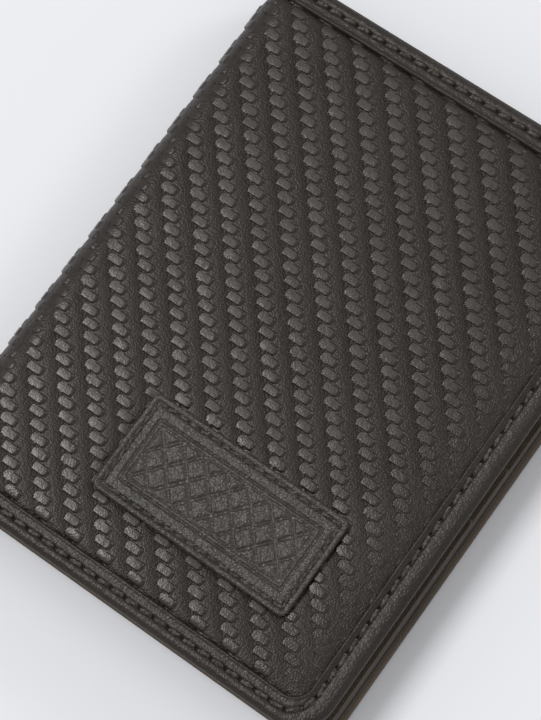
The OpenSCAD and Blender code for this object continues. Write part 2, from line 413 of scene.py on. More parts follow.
def leather(name, dark, light, grain, grain_depth, shine, wrinkle, gloss, worn_polish_and_painted_highlight=False):
    """Dyed and finished leather: pebbled grain, pores, fine creases and a tone that drifts. What
    stands out is polished by wear. The last option needs a piece with the attribute raised: it
    polishes the raised parts and paints them halfway to the light tone, a painted highlight on the
    block tops that leaves the valleys as painted shade."""
    r = Recipe(name)
    cells = r.pebbles(grain).between(0.05, 0.75)
    pores = r.lumps(grain * 0.45, 2.0, 0.6, shift=2.0)
    creases = r.lumps(grain * 5, 3.0, 0.65, (1, 0.6, 1), 7.0)
    drift = r.lumps(18, 2.0, 0.55, shift=1.0)
    worn = (pores * 0.55 + drift * 0.45).between(0.25, 0.75)
    colour = r.mix(worn, dark, light)
    height = (1 - cells) * 0.55 + pores * 0.45 + creases * wrinkle
    stands_out = (1 - cells) * 0.5 + pores * 0.5
    if worn_polish_and_painted_highlight:
        raised = r.node("Attribute", {"attribute_name": "raised"}, output="Fac")
        stands_out = raised * (stands_out * 0.5 + 0.6)
        # Painted highlight: raised block tops are painted halfway to the light tone, and the valleys
        # stay darker as painted shade.
        colour = r.mix(raised * 0.5, colour, light)
        height = height * (1 - 0.75 * raised)
    rough = shine + 0.12 * pores + 0.08 * drift - 0.06
    normal = r.bump(height, grain_depth)
    matt = r.surface(base_color=colour, roughness=rough + MATT_ROUGHER,
                     specular_ior_level=MATT_GLOSS, normal=normal)
    polished = r.surface(base_color=colour, roughness=rough, specular_ior_level=gloss,
                         normal=normal)
    return r.show(r.node("MixShader", None, {0: stands_out, 1: matt, 2: polished}))


WEAVE = {"Scale": 0.55, "Distortion": 0.4, "Detail": 1.0}


# Name, dark and light tone, size and depth of the grain, roughness, wrinkles, gloss, and whether
# raised parts get the wear polish and the painted highlight.
LEATHERS = {
    "embossed": ("embossed leather", (27, 22, 19), (43, 36, 31), 0.42, 0.11, 0.24, 0.20, 0.58, True),
    "smooth": ("smooth border leather", (25, 21, 18), (42, 36, 31), 0.50, 0.08, 0.30, 0.50, 0.54),
    "patch": ("patch leather", (28, 25, 22), (56, 51, 46), 0.52, 0.16, 0.28, 0.06, 1.0),
    "turned": ("turned edge leather", (74, 66, 57), (96, 87, 76), 0.30, 0.12, 0.66, 0.4, 0.3),
    "inner": ("inner leather", (58, 48, 40), (72, 61, 51), 0.40, 0.16, 0.50, 0.3, 0.4),
    "painted": ("painted edge", (64, 56, 48), (80, 71, 62), 0.6, 0.04, 0.35, 0.2, 0.5)}


def make_materials():
    """The wallet's finishes by name."""
    m = {}
    for key, (name, dark, light, *rest) in LEATHERS.items():
        m[key] = leather(name, tone(*dark), tone(*light), *rest)

    r = Recipe("waxed thread")
    fibres = r.lumps(0.12, 3.0, 0.7, shift=3.0)
    fuzz = r.lumps(0.6, 2.0, 0.6, shift=5.0).between(0.35, 0.7)
    m["thread"] = r.finish(
        base_color=r.mix(fuzz, tone(38, 35, 32), tone(94, 88, 81)), roughness=0.62 + 0.2 * fibres,
        specular_ior_level=0.35, sheen_weight=0.35, sheen_roughness=0.4, normal=r.bump(fibres, 0.10))

    r = Recipe("woven lining")
    warp, weft = [r.node("TexWave", {"bands_direction": way},
                         {"Vector": r.place(1 / MM), **WEAVE}) for way in "XY"]
    slubs = r.lumps(2.5, 3.0, 0.6, (1, 0.15, 1))
    weave = warp * 0.5 + weft * 0.5
    tint = (weave * 0.6 + slubs * 0.4).between(0.25, 0.75)
    m["lining"] = r.finish(
        base_color=r.mix(tint, tone(34, 33, 34), tone(62, 60, 60)), roughness=0.80 + 0.1 * slubs,
        specular_ior_level=0.3, sheen_weight=0.3, sheen_roughness=0.5, normal=r.bump(weave, 0.08))

    r = Recipe("padding foam")
    cells = r.pebbles(0.5)
    m["foam"] = r.finish(base_color=r.mix(cells, tone(120, 118, 112), tone(158, 155, 148)),
                         roughness=0.92, normal=r.bump(cells, 0.2))

    r = Recipe("pressed fibre board")
    fibres = r.lumps(0.7, 4.0, 0.7, (1, 0.3, 1))
    tint = r.mix(fibres.between(0.3, 0.7), tone(112, 92, 70), tone(146, 124, 98))
    m["board"] = r.finish(base_color=tint, roughness=0.80 + 0.1 * fibres,
                          normal=r.bump(fibres, 0.05))

    r = Recipe("clear window film")
    wave = r.lumps(14, 2.0, 0.5)
    m["film"] = r.finish(base_color=(0.30, 0.32, 0.33, 1.0), roughness=0.06 + 0.08 * wave,
                         alpha=0.07 + 0.05 * wave, specular_ior_level=0.9,
                         normal=r.bump(wave, 0.8))

    r = Recipe("pale studio floor")
    mottle = r.lumps(90, 3.0, 0.5)
    tint = r.mix(mottle, (0.79, 0.819, 0.874, 1), (0.80, 0.829, 0.884, 1))
    m["floor"] = r.finish(base_color=tint, roughness=0.85, specular_ior_level=0.15)
    return m


LOOKS = make_materials()

# ------ embossed leather
BLOCK_PERIOD = 7.53
BLOCK_ROW = 2.23
BLOCK_SHIFT = BLOCK_PERIOD / 4
BLOCK_X, BLOCK_Y = -1.57, -6.75
RELIEF = 0.78
PATCH_LOW, PATCH_HIGH = node_box("patch")
PATCH_R = 1.5
LIP_DIP = 0.8
# Half sizes of a block's top, and how square its outline is, along the row and down the rows.
BLOCK_LEFT, BLOCK_RIGHT, BLOCK_UP, BLOCK_DOWN = 1.72, 2.05, 1.03, 1.01
SQUARE_ALONG, SQUARE_DOWN = 4.0, 4.5
LEFT_SHOULDER, RIGHT_SHOULDER, FOOT = 0.70, 0.40, 1.26
CROWN_ALONG, CROWN_DOWN, TOP_TILT = 0.020, 0.018, 0.012
VALLEY_START, VALLEY_LESS = 1.35, 2.9
SIDE_SOFT, END_SOFT = 3.4, 0.8


def block_chance(row, column, salt):
    """A fixed random number from -1 to 1 for each block of the embossing."""
    value = np.sin(row * 12.9898 + column * 78.233 + salt * 37.719) * 43758.5453
    return 2 * (value - np.floor(value)) - 1


def block_relief(u, y):
    """Height of the embossed blocks: 0 on their tops, down to -RELIEF in front of the next one."""
    rows = (BLOCK_Y - y) / BLOCK_ROW
    row = np.round(rows)
    down = (rows - row) * BLOCK_ROW
    run = u - BLOCK_X - row * BLOCK_SHIFT
    column = np.round(run / BLOCK_PERIOD)
    along = run - column * BLOCK_PERIOD
    along_edge = np.where(along < 0, -along / BLOCK_LEFT, along / BLOCK_RIGHT)
    down_edge = np.where(down < 0, -down / BLOCK_UP, down / BLOCK_DOWN)
    rim = (along_edge ** SQUARE_ALONG + down_edge ** SQUARE_DOWN
           + 0.10 * block_chance(row, column, 1))
    block = 1 - smooth(np.where(along < 0, LEFT_SHOULDER, RIGHT_SHOULDER), FOOT, rim)
    crown = (-CROWN_ALONG * (along / 1.5) ** 2 - CROWN_DOWN * (down / 0.76) ** 2
             - TOP_TILT * along + 0.035 * block_chance(row, column, 3))
    valley = (u - BLOCK_X - rows * BLOCK_SHIFT - VALLEY_START) / BLOCK_PERIOD
    valley = (valley - np.floor(valley)) * BLOCK_PERIOD / (BLOCK_PERIOD - VALLEY_LESS)
    fall = np.clip(valley, 0, 1) ** 1.7
    under_block = smooth(1.04, 1.22, valley)
    floor = -RELIEF * (0.46 + 0.54 * fall * (1 - 0.85 * under_block))
    return floor + (crown - floor) * block


def outside_patch(u, y):
    """Distance to the patch's outline, negative on the patch."""
    mid, half = (PATCH_LOW + PATCH_HIGH) / 2, (PATCH_HIGH - PATCH_LOW) / 2
    a = np.abs(u - mid[0]) - half[0] + PATCH_R
    b = np.abs(y - mid[1]) - half[1] + PATCH_R
    return np.hypot(np.maximum(a, 0), np.maximum(b, 0)) + np.minimum(np.maximum(a, b), 0) - PATCH_R


def from_border(u, y):
    """How far a point lies in from the border at the side, and at the nearer end."""
    edge, x = edge_of(u)
    to_end = HALF_HEIGHT - BORDER_END - np.abs(y)
    return np.maximum(edge - BORDER_SIDE - x, 0), np.maximum(to_end, 0)


def relief_strength(u, y):
    """How strongly the embossing shows: it fades at the borders and a little over the fold."""
    to_side, to_end = from_border(u, y)
    reach = 5.5 + 3.5 * smooth(15, -45, y)
    on_fold = smooth(FOLD_X + 3, FOLD_X - 3, u) * smooth(FOLD_X - ARC - 3, FOLD_X - ARC + 3, u)
    return ((1 - 0.85 * np.exp(-(to_side / reach) ** 1.5)) * (1 - 0.30 * np.exp(-to_end / 0.9))
            * (1 - 0.25 * on_fold))


def field_lift(u, y):
    """How high the embossed, padded leather stands above the nominal outer surface."""
    to_side, to_end = from_border(u, y)
    side_dip = np.exp(-to_side / SIDE_SOFT)
    end_dip = 0.85 * np.exp(-to_end / END_SOFT)
    dip = LIP_DIP * (1 - (1 - side_dip) * (1 - end_dip))
    gap = outside_patch(u, y)
    pressed = 0.22 * np.exp(-np.maximum(gap, 0) / 1.0)
    ease = 0.05 * unevenness(u, y, 13, 5) + 0.03 * unevenness(u, y, 4.2, 6)
    skin = 0.018 * unevenness(u, y, 0.9, 7)
    return ease + skin - dip - pressed + block_relief(u, y) * relief_strength(u, y)


def grid_lines(low, high, start, pitch, shares):
    """Lines at the given shares of each pitch, between low and high, both ends included."""
    first, last = math.floor((low - start) / pitch), math.ceil((high - start) / pitch)
    lines = [start + (k + s) * pitch for k in range(first, last + 1) for s in shares]
    inside = [v for v in lines if low + 0.06 < v < high - 0.06]
    return np.array([low, *inside, high])


ALONG_SHARES = (0.09, 0.18, 0.30, 0.60, 0.74, 0.92)
DOWN_SHARES = (0.0, 0.08, 0.17, 0.36, 0.64, 0.83, 0.92)
FEWER_DOWN_SHARES = (0.06, 0.20, 0.42, 0.68, 0.82, 0.94)
FIELD_UNDER_BORDER = 0.9
SKIN_T = 0.85
UNDER_SHARES = np.array([-1, -0.96, -0.85, 0.85, 0.96, 1])
UNDER_DIP = np.array([1, 0.45, 0, 0, 0.45, 1])
SLOPE_STEP = 0.02


def embossed_skin(name, low_u, high_u, down_shares):
    """Embossed leather between two values of u, from border to border, as a closed skin."""
    half = HALF_HEIGHT - BORDER_END + FIELD_UNDER_BORDER
    us = grid_lines(low_u, high_u, BLOCK_X, BLOCK_SHIFT, ALONG_SHARES)
    ys = grid_lines(-half, half, BLOCK_Y - BLOCK_ROW / 2, BLOCK_ROW, down_shares)
    u, y = np.meshgrid(us, ys, indexing="ij")

    def surface(a, b):
        return on_leather(a, b, field_lift(a, b))

    top = surface(u, y)
    normals = np.cross(surface(u + SLOPE_STEP, y) - surface(u - SLOPE_STEP, y),
                       surface(u, y + SLOPE_STEP) - surface(u, y - SLOPE_STEP))
    normals /= np.linalg.norm(normals, axis=-1, keepdims=True)
    side_dip = np.exp(-from_border(us, 0)[0] / SIDE_SOFT)[:, None]
    depth = SKIN_T + 0.1 + LIP_DIP * (1 - (1 - side_dip) * (1 - UNDER_DIP))
    under = on_leather(us[:, None], half * UNDER_SHARES[None, :], -depth)
    piece = closed_skin(name, top, under, LOOKS["embossed"], normals)
    # raised: how high each point stands on a block. The embossed leather polishes these tops and
    # paints them lighter as a painted highlight.
    raised = (smooth(-0.62, -0.06, block_relief(u, y)) * relief_strength(u, y)).ravel()
    raised = np.concatenate([raised, np.zeros(depth.size)]).astype(np.float32)
    piece.data.attributes.new("raised", "FLOAT", "POINT").data.foreach_set("value", raised)
    return piece


def make_embossed_leather():
    tucks = [edge - BORDER_SIDE + FIELD_UNDER_BORDER for edge in (FRONT_EDGE, BACK_EDGE)]
    front = embossed_skin("front_embossed_leather", FOLD_X, tucks[0], DOWN_SHARES)
    describe(front, "front_cover", "embossed_leather", "front_skin")
    back = embossed_skin("back_embossed_leather", back_u(tucks[1]), strip_start(0),
                         FEWER_DOWN_SHARES)
    describe(back, "back_cover", "embossed_leather", "back_skin")
    strips = []
    for k in STRIPS:
        low = strip_start(k)
        strip = embossed_skin(f"fold_embossed_leather_{k + 1}", low, low + STRIP, DOWN_SHARES)
        bend_round_fold(strip, k, FOLD_R, "embossed_leather", *spine_nodes("skin", k))
        strips.append(strip)
    for piece, cover, edge, mine in ((front, "front", FRONT_EDGE, strips[2:]),
                                     (back, "back", BACK_EDGE, strips[:2])):
        (edge - FOLD_X) * MM


# ------ smooth border
SIDE_STEPS, TURN_STEPS, END_STEPS = 330, 44, 245


def rounded_run(edge, radius, half):
    """A run along the top, round the open corner, down the side, and back along the base."""
    turns = np.linspace(math.pi / 2, 0, TURN_STEPS + 1)
    top_x = np.linspace(FOLD_X, edge - radius, END_STEPS + 1)
    drop = np.linspace(half - radius, radius - half, SIDE_STEPS + 1)
    corner = spots(edge - radius + radius * np.cos(turns),
                       half - radius + radius * np.sin(turns))
    top = spots(top_x, np.full(len(top_x), half))
    down = spots(np.full(len(drop), edge), drop)
    return np.concatenate([top[:-1], corner[:-1], down[:-1],
                           corner[::-1] * (1, -1), top[::-1][1:] * (1, -1)])


def along_run():
    """For each step of a run: how far it is on the side, and how far in a turn."""
    share = np.arange(TURN_STEPS + 1) / TURN_STEPS
    turn = smooth(0, 1, share)
    hump = np.sin(share * math.pi) ** 2
    end = np.zeros(END_STEPS)
    side = np.concatenate([end, turn[:-1], np.ones(SIDE_STEPS), turn[::-1], end])
    corner = np.concatenate([end, hump[:-1], np.zeros(SIDE_STEPS), hump[::-1], end])
    return side, corner


FACE_DEPTH = 0.34
RIM_FALL, RIM_REACH = 0.42, 1.3
ROLL, ROLL_IN, ROLL_W = 0.20, 0.42, 0.36
LIP_FALL, LIP_W = 0.22, 0.28
GROOVE, GROOVE_W = 0.25, 0.55
HOLE, HOLE_W, HOLE_L, HOLE_SLANT = 0.75, 0.25, 0.50, 0.30
PLEAT = 0.11
BORDER_BEND_DEPTH = 0.4


def border_face_depth(d, width, seam, s, pitch, u, y, corner, sweep):
    """Depth of the border's outer face, d in from the rim, s along the seam."""
    depth = FACE_DEPTH + RIM_FALL * np.maximum(RIM_REACH - d, 0) ** 2
    depth = depth - ROLL * bell(d - (width - ROLL_IN), ROLL_W)
    depth = depth + LIP_FALL * smooth(width - LIP_W, width, d)
    depth = depth - 0.07 * bell(d - 0.55 * seam, 0.7)
    depth = depth + GROOVE * bell(d - seam, GROOVE_W)
    from_hole = s - np.round(s / pitch) * pitch
    depth = depth + HOLE * bell(d - seam - HOLE_SLANT * from_hole, HOLE_W) * bell(from_hole, HOLE_L)
    pulled_up = 0.5 - 0.5 * np.cos(TAU * s / pitch)
    depth = depth - 0.07 * bell(np.abs(d - seam) - 0.78, 0.34) * pulled_up
    pleats = np.sin(sweep * 13 + 0.7 * np.sin(sweep * 5))
    depth = depth + PLEAT * corner * pleats * smooth(0.35 * width, 0.9 * width, d)
    depth = depth + 0.030 * unevenness(u, y, 0.85, 11) * smooth(0.2, 1.4, d)
    return depth + 0.035 * unevenness(u, y, 3.4, 12)


FACE_SHARES = np.concatenate([np.linspace(1.0, 0.90, 6), np.linspace(0.875, 0.30, 21),
                              np.linspace(0.26, 0.0, 9)])
# The rest of the section, as distance in from the rim, or from the lip, and depth.
EDGE_WALL = [(-0.03, 1.25), (-0.05, 1.55), (-0.02, 1.85), (0.05, 2.10), (0.20, 2.32), (0.5, 2.47)]
HEM_IN = [(1.1, 2.50), (2.2, 2.52), (3.4, 2.50), (4.3, 2.47), (4.62, 2.38), (4.7, 2.25),
          (4.55, 2.13)]
WALL_IN = [(2.6, 2.10), (0.95, 2.05), (0.82, 1.8), (0.85, 1.45), (1.1, 1.30), (3.0, 1.28)]
UNDER_LIP = [(0.25, 1.25), (0.0, 1.15), (-0.04, 0.95), (-0.04, 0.75)]


def border_surface(rim, lip, side, corner, sweep, s, pitch, u_of):
    """The border's cross-section swept along the rim: rings of points round the folded leather."""
    seam = SEAM_END + (SEAM_SIDE - SEAM_END) * side
    width = BORDER_END + (BORDER_SIDE - BORDER_END) * side
    shape = (len(rim), len(FACE_SHARES))
    share = np.broadcast_to(FACE_SHARES, shape)
    spot = rim[:, None] + (lip - rim)[:, None] * share[..., None]
    away_from_ends = smooth(4, 16, s) * smooth(4, 16, s[-1] - s)
    drift = 0.12 * unevenness(s, 3.3, 6.0, 14) * away_from_ends
    wide = width[:, None]
    face = border_face_depth(share * wide, wide, seam[:, None], s[:, None], pitch,
                             u_of(spot[..., 0]), spot[..., 1], corner[:, None], sweep[:, None])
    shares, depths = [share + (drift / width)[:, None] * smooth(0.8, 1.0, share)], [face]
    for rest, from_lip in ((EDGE_WALL + HEM_IN + WALL_IN, False), (UNDER_LIP, True)):
        distance = np.array([p[0] for p in rest])
        depth = np.array([p[1] for p in rest])
        part = distance[None, :] / width[:, None]
        if from_lip:
            part = 1 - part + (drift / width)[:, None]
        shares.append(part)
        depths.append(np.broadcast_to(depth, part.shape))
    share, depth = np.concatenate(shares, axis=1), np.concatenate(depths, axis=1)
    spot = rim[:, None] + (lip - rim)[:, None] * share[..., None]
    return on_leather(u_of(spot[..., 0]), spot[..., 1], -depth)


def seam_length(line):
    """Distance along a line of points, from its start."""
    return np.concatenate([[0], np.cumsum(np.linalg.norm(np.diff(line, axis=0), axis=1))])


def show_turned_edge(piece):
    """Gives the border's edge and hem, which have no top finish, their own leather."""
    piece.data.materials.append(LOOKS["turned"])
    around = len(FACE_SHARES) + len(EDGE_WALL + HEM_IN + WALL_IN + UNDER_LIP)
    first = len(FACE_SHARES) + 1
    last = first + len(EDGE_WALL + HEM_IN)
    for n, face in enumerate(piece.data.polygons):
        if first <= n % around < last and len(face.vertices) == 4:
            face.material_index = 1


def cover_run(edge):
    """The lines of a cover's border, with the distance along its seam and the stitch pitch."""
    rim = rounded_run(edge, CORNER_R, HALF_HEIGHT)
    lip = rounded_run(edge - BORDER_SIDE, LIP_CORNER_R, HALF_HEIGHT - BORDER_END)
    side, corner = along_run()
    share = SEAM_END / BORDER_END + (SEAM_SIDE / BORDER_SIDE - SEAM_END / BORDER_END) * side
    seam = rim + (lip - rim) * share[:, None]
    s = seam_length(seam)
    return rim, lip, side, corner, seam, s, s[-1] / round(s[-1] / STITCH)


def make_border(cover, edge, u_of):
    rim, lip, side, corner, seam, s, pitch = cover_run(edge)
    sweep = np.arctan2(seam[:, 1], seam[:, 0] - edge + 30)
    rings = border_surface(rim, lip, side, corner, sweep, s, pitch, u_of)
    count, around = rings.shape[:2]
    faces = tube_faces(count, around)
    if u_of is front_u:
        faces = [f[::-1] for f in faces]
    piece = piece_from(f"{cover}_border_leather", rings.reshape(-1, 3), faces,
                       LOOKS["smooth"], None, 2)
    show_turned_edge(piece)
    describe(piece, f"{cover}_cover", "smooth_leather", f"{cover}_border")


def make_fold_border():
    """The border's two ends over the fold, a strip at a time."""
    steps = 28
    zero = np.zeros(steps)
    for k in STRIPS:
        low = strip_start(k)
        us = np.linspace(low, low + STRIP, steps)
        points, faces = [], []
        for side in (-1, 1):
            rim = spots(us, zero + side * HALF_HEIGHT)
            lip = spots(us, zero + side * (HALF_HEIGHT - BORDER_END))
            rings = border_surface(rim, lip, zero, zero, zero, us - low, STRIP_PITCH, front_u)
            count, around = rings.shape[:2]
            new = tube_faces(count, around, len(points) * count * around)
            faces += new if side < 0 else [f[::-1] for f in new]
            points.append(rings.reshape(-1, 3))
        piece = piece_from(f"fold_border_leather_{k + 1}", np.concatenate(points), faces,
                           LOOKS["smooth"])
        for face in piece.data.polygons:
            face.use_smooth = len(face.vertices) == 4
        bend_round_fold(piece, k, FOLD_R - BORDER_BEND_DEPTH, "smooth_leather",
                        *spine_nodes("border", k))


# ------ thread
THREAD_R = 0.29
THREAD_RINGS = 14
THREAD_AROUND = 10
PLY_TURN, PLY_HEIGHT = 2.4, 0.20
DIVE, DIVE_THINNER = 1.9, 0.45
THREAD_W, THREAD_H = 1.12, 0.9


def one_stitch(start, finish, sideways, up, radius, seed):
    """Rings of one stitch of two-ply thread that dives into its holes at both ends."""
    start, finish, up = np.array(start), np.array(finish), np.array(up)
    run = finish - start
    length = np.linalg.norm(run)
    ahead = run / length
    across = np.cross(up, ahead)
    luck = np.random.default_rng(seed).uniform(-1, 1, 3)
    rings = []
    for i in range(THREAD_RINGS):
        t = i / (THREAD_RINGS - 1)
        dive = (2 * t - 1) ** 6
        centre = (start + run * t + across * (2 * t - 1) * (sideways + 0.03 * luck[0])
                  + up * (0.05 * luck[1] - radius * DIVE * dive))
        thick = radius * (1 - DIVE_THINNER * dive) * (1 + 0.05 * luck[2])
        for j in range(THREAD_AROUND):
            a = TAU * j / THREAD_AROUND
            ply = 1 + PLY_HEIGHT * math.cos(2 * (a - 5.2 * t * length / PLY_TURN + luck[1]))
            way = math.cos(a) * across * THREAD_W + math.sin(a) * up * THREAD_H
            rings.append(centre + thick * ply * way)
    return rings


def thread_piece(name, stitches, radius=THREAD_R, seed=100):
    """All the stitches of a seam in one piece. A stitch is its start, finish, slant and up."""
    points, faces = [], []
    for n, (start, finish, slant, up) in enumerate(stitches):
        faces += tube_faces(THREAD_RINGS, THREAD_AROUND, len(points))
        points += one_stitch(start, finish, slant, up, radius, seed + n)
    return piece_from(name, np.array(points), [f[::-1] for f in faces], LOOKS["thread"])


def point_at(line, s, distance):
    """The point of a line at a distance along it, where s holds each point's own distance."""
    return np.array([np.interp(distance, s, line[:, 0]), np.interp(distance, s, line[:, 1])])


THREAD_DEPTH = 0.45
HOLE_GAP = 0.36


def hole_pairs(line, s, pitch):
    """The two holes of each stitch along a line."""
    return [[point_at(line, s, n * pitch + HOLE_GAP), point_at(line, s, (n + 1) * pitch - HOLE_GAP)]
            for n in range(round(s[-1] / pitch))]


def border_stitches(seam, s, pitch, u_of):
    """Start, finish, slant and up of each stitch along a border seam."""
    stitches = []
    for n, holes in enumerate(hole_pairs(seam, s, pitch)):
        ends = [on_leather(u_of(p[0]), p[1], -THREAD_DEPTH) for p in holes]
        middle = point_at(seam, s, (n + 0.5) * pitch)
        u, y = u_of(middle[0]), middle[1]
        up = on_leather(u, y, 1.0) - on_leather(u, y, 0.0)
        stitches.append((*ends, 0.16, up))
    return stitches


def make_border_thread():
    for cover, edge, u_of in COVERS:
        seam, s, pitch = cover_run(edge)[4:]
        piece = thread_piece(f"{cover}_border_thread", border_stitches(seam, s, pitch, u_of))
        describe(piece, f"{cover}_cover", "thread", f"{cover}_border_stitches")
    for k in STRIPS:
        low = strip_start(k)
        stitches = []
        for side in (-1, 1):
            y = side * (HALF_HEIGHT - SEAM_END)
            seam = np.array([[low, y], [low + STRIP, y]])
            stitches += border_stitches(seam, seam_length(seam), STRIP_PITCH, front_u)
        piece = thread_piece(f"fold_thread_{k + 1}", stitches, seed=500 + 10 * k)
        bend_round_fold(piece, k, FOLD_R - THREAD_DEPTH, "thread", *spine_nodes("stitches", k))


# ------ patch
PATCH_SEAM = 1.5
PATCH_STITCH = 2.6
PATCH_UNDER = 14.35
LATTICE_X, LATTICE_Y = 18.2, 5.9
LATTICE_PITCH, LATTICE_LEAN = 5.2, 0.88
LATTICE_LINE, FRAME_LINE, FINE_LINE, FRAME_OUT = 0.4, 0.275, 0.225, 1.1
PATCH_STEPS = (0.0, 0.06, 0.16, 0.30, 0.5)
PATCH_COUNTS = (250, 122)
PATCH_ROLL = 0.42
PRESSED = 0.34
PATCH_THREAD_DEPTH = 0.22


def ornament_depth(px, py):
    """A plain pressed ornament: a lattice of lozenges inside two fine frame lines."""
    box = np.maximum(np.abs(px) - LATTICE_X, np.abs(py) - LATTICE_Y)
    depth = np.maximum(bell(box - FRAME_OUT, FRAME_LINE), 0.8 * bell(box, FINE_LINE))
    for lean in (-1, 1):
        step = (px + lean * LATTICE_LEAN * py) / LATTICE_PITCH + 0.5
        distance = np.abs(step - np.round(step)) * LATTICE_PITCH / math.hypot(1, LATTICE_LEAN)
        depth = np.maximum(depth, bell(distance, LATTICE_LINE) * (box < 0))
    return depth


def make_patch():
    low, high = PATCH_LOW, PATCH_HIGH
    xs, ys = [rim_lines(low[n], high[n], PATCH_STEPS, PATCH_COUNTS[n]) for n in (0, 1)]
    x0, y0 = np.meshgrid(xs, ys, indexing="ij")
    to_rim = from_rim(x0, y0, low, high)
    x, y = round_corners(x0, y0, low, high, [PATCH_R] * 4)
    on_roll = np.maximum(PATCH_ROLL - to_rim, 0)
    height = high[2] - 0.02 - (PATCH_ROLL - np.sqrt(np.maximum(PATCH_ROLL ** 2 - on_roll ** 2, 0)))
    height -= 0.36 * bell(to_rim - PATCH_SEAM, 0.48)
    height -= 0.08 * smooth(0.9, 2.4, to_rim)
    mid = (low + high) / 2
    px, py = x - mid[0], y - mid[1]
    height -= PRESSED * ornament_depth(px, py)
    inside = smooth(0.4, 2.2, to_rim)
    height += inside * (0.045 * unevenness(x, y, 1.2, 31) + 0.050 * unevenness(x, y, 0.6, 32)
                        + 0.05 * unevenness(x, y, 6.0, 33))
    height += 0.02 * unevenness(x, y, 2.0, 34)
    along = np.where(np.abs(py) > np.abs(px) * (high[1] - low[1]) / (high[0] - low[0]), px, py)
    hole = along - (np.floor(along / PATCH_STITCH) + 0.5) * PATCH_STITCH
    height -= PRESSED * bell(to_rim - PATCH_SEAM, 0.24) * bell(hole, 0.30)
    top = spots(x, y, height)
    under = spots(x, y, np.full(x.shape, PATCH_UNDER))
    piece = closed_slab("front_patch", top, under, LOOKS["patch"])
    describe(piece, "front_cover", "patch_leather", "patch")
    plan(low, high)

    stitches = []
    z = high[2] - PATCH_THREAD_DEPTH
    half_x, half_y = (high[0] - low[0]) / 2 - PATCH_SEAM, (high[1] - low[1]) / 2 - PATCH_SEAM
    for half_run, offset, turned in ((half_x, half_y, False), (half_y, half_x, True)):
        count = math.floor((half_run - 0.3) / PATCH_STITCH - 0.5)
        for side in (-1, 1):
            for n in range(-count - 1, count + 1):
                a = (n + 0.5) * PATCH_STITCH + HOLE_GAP
                b = (n + 1.5) * PATCH_STITCH - HOLE_GAP
                if max(abs(a), abs(b)) > half_run + 0.2:
                    continue
                ends = [(a, side * offset), (b, side * offset)]
                if turned:
                    ends = [(q, p) for p, q in ends]
                ends = [(mid[0] + p, mid[1] + q, z) for p, q in ends]
                stitches.append((ends[0], ends[1], 0.12, (0, 0, 1)))
    thread = thread_piece("front_patch_thread", stitches, 0.22, 900)
    describe(thread, "front_cover", "thread", "patch_stitches")


# ------ layers inside
LAYER_CORNERS = [0.8, CORNER_R - 1.2, 0.8, 0.8]


LAYER_STEPS = (0.0, 0.03, 0.10, 0.22, 0.4)
LAYER_PITCHES = (1.5, 1.2)
CREASE_IN, CREASE_W = 1.9, 0.32


def flat_layer(name, node, body, slot, material, facing, seed, crease=0.0, swell=0.0, radii=None,
               inset=(0, 0)):
    """A soft layer in the room of its CAD node, with round edges. facing is +1 if its shown
    side is up. inset draws it in from the open edge and from the two ends."""
    low, high = node_box(node)
    low, high = low + (0, inset[1], 0), high - (inset[0], inset[1], 0)
    radii = radii or LAYER_CORNERS
    t = high[2] - low[2]
    counts = [max(int((high[n] - low[n]) / LAYER_PITCHES[n]), 6) for n in (0, 1)]
    xs, ys = [rim_lines(low[n], high[n], LAYER_STEPS, counts[n]) for n in (0, 1)]
    x0, y0 = np.meshgrid(xs, ys, indexing="ij")
    to_rim = from_rim(x0, y0, low, high)
    x, y = round_corners(x0, y0, low, high, radii)
    round_off = np.sqrt(np.clip(1 - (1 - np.clip(to_rim / (t / 2), 0, 1)) ** 2, 0, 1))
    middle = (low[2] + high[2]) / 2
    wave = 0.06 * t * unevenness(x, y, 17, seed) * smooth(0, 8, to_rim)
    shown = t / 2 * round_off - np.maximum(0.06 * t * unevenness(x, y, 5, seed + 1), 0)
    from_top = high[1] - y0
    shown = shown - crease * bell(from_top - CREASE_IN, CREASE_W) * smooth(0, 1, to_rim)
    shown = shown + 0.35 * crease * smooth(2.6, 1.0, from_top) * smooth(0.2, 0.8, to_rim)
    hidden = t / 2 * round_off
    shown = shown - swell * t * np.exp(-to_rim / 5)
    hidden = hidden - 0.5 * swell * t * np.exp(-to_rim / 5)
    top = spots(x, y, middle + facing * (shown + wave * facing))
    under = spots(x, y, middle - facing * (hidden - wave * facing))
    piece = closed_slab(name, top, under, material)
    if crease:
        paint_edges(piece, low, high, 0.3)
    describe(piece, body, slot, node)
    return piece, low, high


def paint_edges(piece, low, high, width):
    """The cut edges of a leather sheet are sealed with a darker paint."""
    piece.data.materials.append(LOOKS["painted"])
    for face in piece.data.polygons:
        x, y = face.center.x / MM, face.center.y / MM
        if from_rim(x, y, low, high) < width:
            face.material_index = 1


